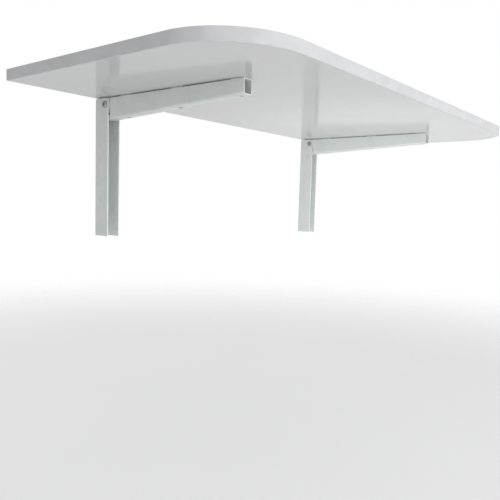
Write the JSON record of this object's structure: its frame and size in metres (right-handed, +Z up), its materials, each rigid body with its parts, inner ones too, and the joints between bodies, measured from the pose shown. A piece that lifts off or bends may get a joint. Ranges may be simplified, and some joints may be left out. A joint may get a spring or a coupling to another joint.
{
  "type": "wall-mounted drop-leaf table",
  "caption": "Rectangular leaf with two round front corners on two folding wall brackets; it hangs flat against the wall when folded.",
  "frame": {"origin": "on the wall plane, midway between the two wall rails, level with the underside of the opened leaf", "axes": "+X along the wall to the right as seen from the room, +Y into the wall, +Z up"},
  "size_m": [1, 0.5015, 0.268],
  "materials": {
    "melamine_board": "pale grey melamine-faced chipboard, smooth, semi-gloss",
    "edge_band": "pale grey ABS edge band, satin",
    "bracket_paint": "silver-grey powder coat, fine grain, satin",
    "zinc_hardware": "bright zinc plate",
    "nylon": "natural nylon"
  },
  "bodies": {
    "wall_rails": {"left_wall_rail": "bracket_paint", "left_pivot_screw": "zinc_hardware", "left_pivot_nut": "zinc_hardware", "left_pivot_bush": "zinc_hardware", "left_pivot_washer_outer": "nylon", "left_pivot_washer_inner": "nylon", "left_stop_pin": "bracket_paint", "right_wall_rail": "bracket_paint", "right_pivot_screw": "zinc_hardware", "right_pivot_nut": "zinc_hardware", "right_pivot_bush": "zinc_hardware", "right_pivot_washer_outer": "nylon", "right_pivot_washer_inner": "nylon", "right_stop_pin": "bracket_paint"},
    "leaf": {"leaf_core": "melamine_board", "edge_band_front": "edge_band", "edge_band_rear": "edge_band", "left_arm": "bracket_paint", "left_leaf_screw_1": "zinc_hardware", "left_leaf_screw_2": "zinc_hardware", "left_leaf_screw_3": "zinc_hardware", "right_arm": "bracket_paint", "right_leaf_screw_1": "zinc_hardware", "right_leaf_screw_2": "zinc_hardware", "right_leaf_screw_3": "zinc_hardware"}
  },
  "joints": [
    {"name": "leaf_fold", "type": "hinge", "parent": "wall_rails", "child": "leaf", "pos_m": [0, -0.03, -0.013], "axis": [1, 0, 0], "range_deg": [0, 90]}
  ]
}
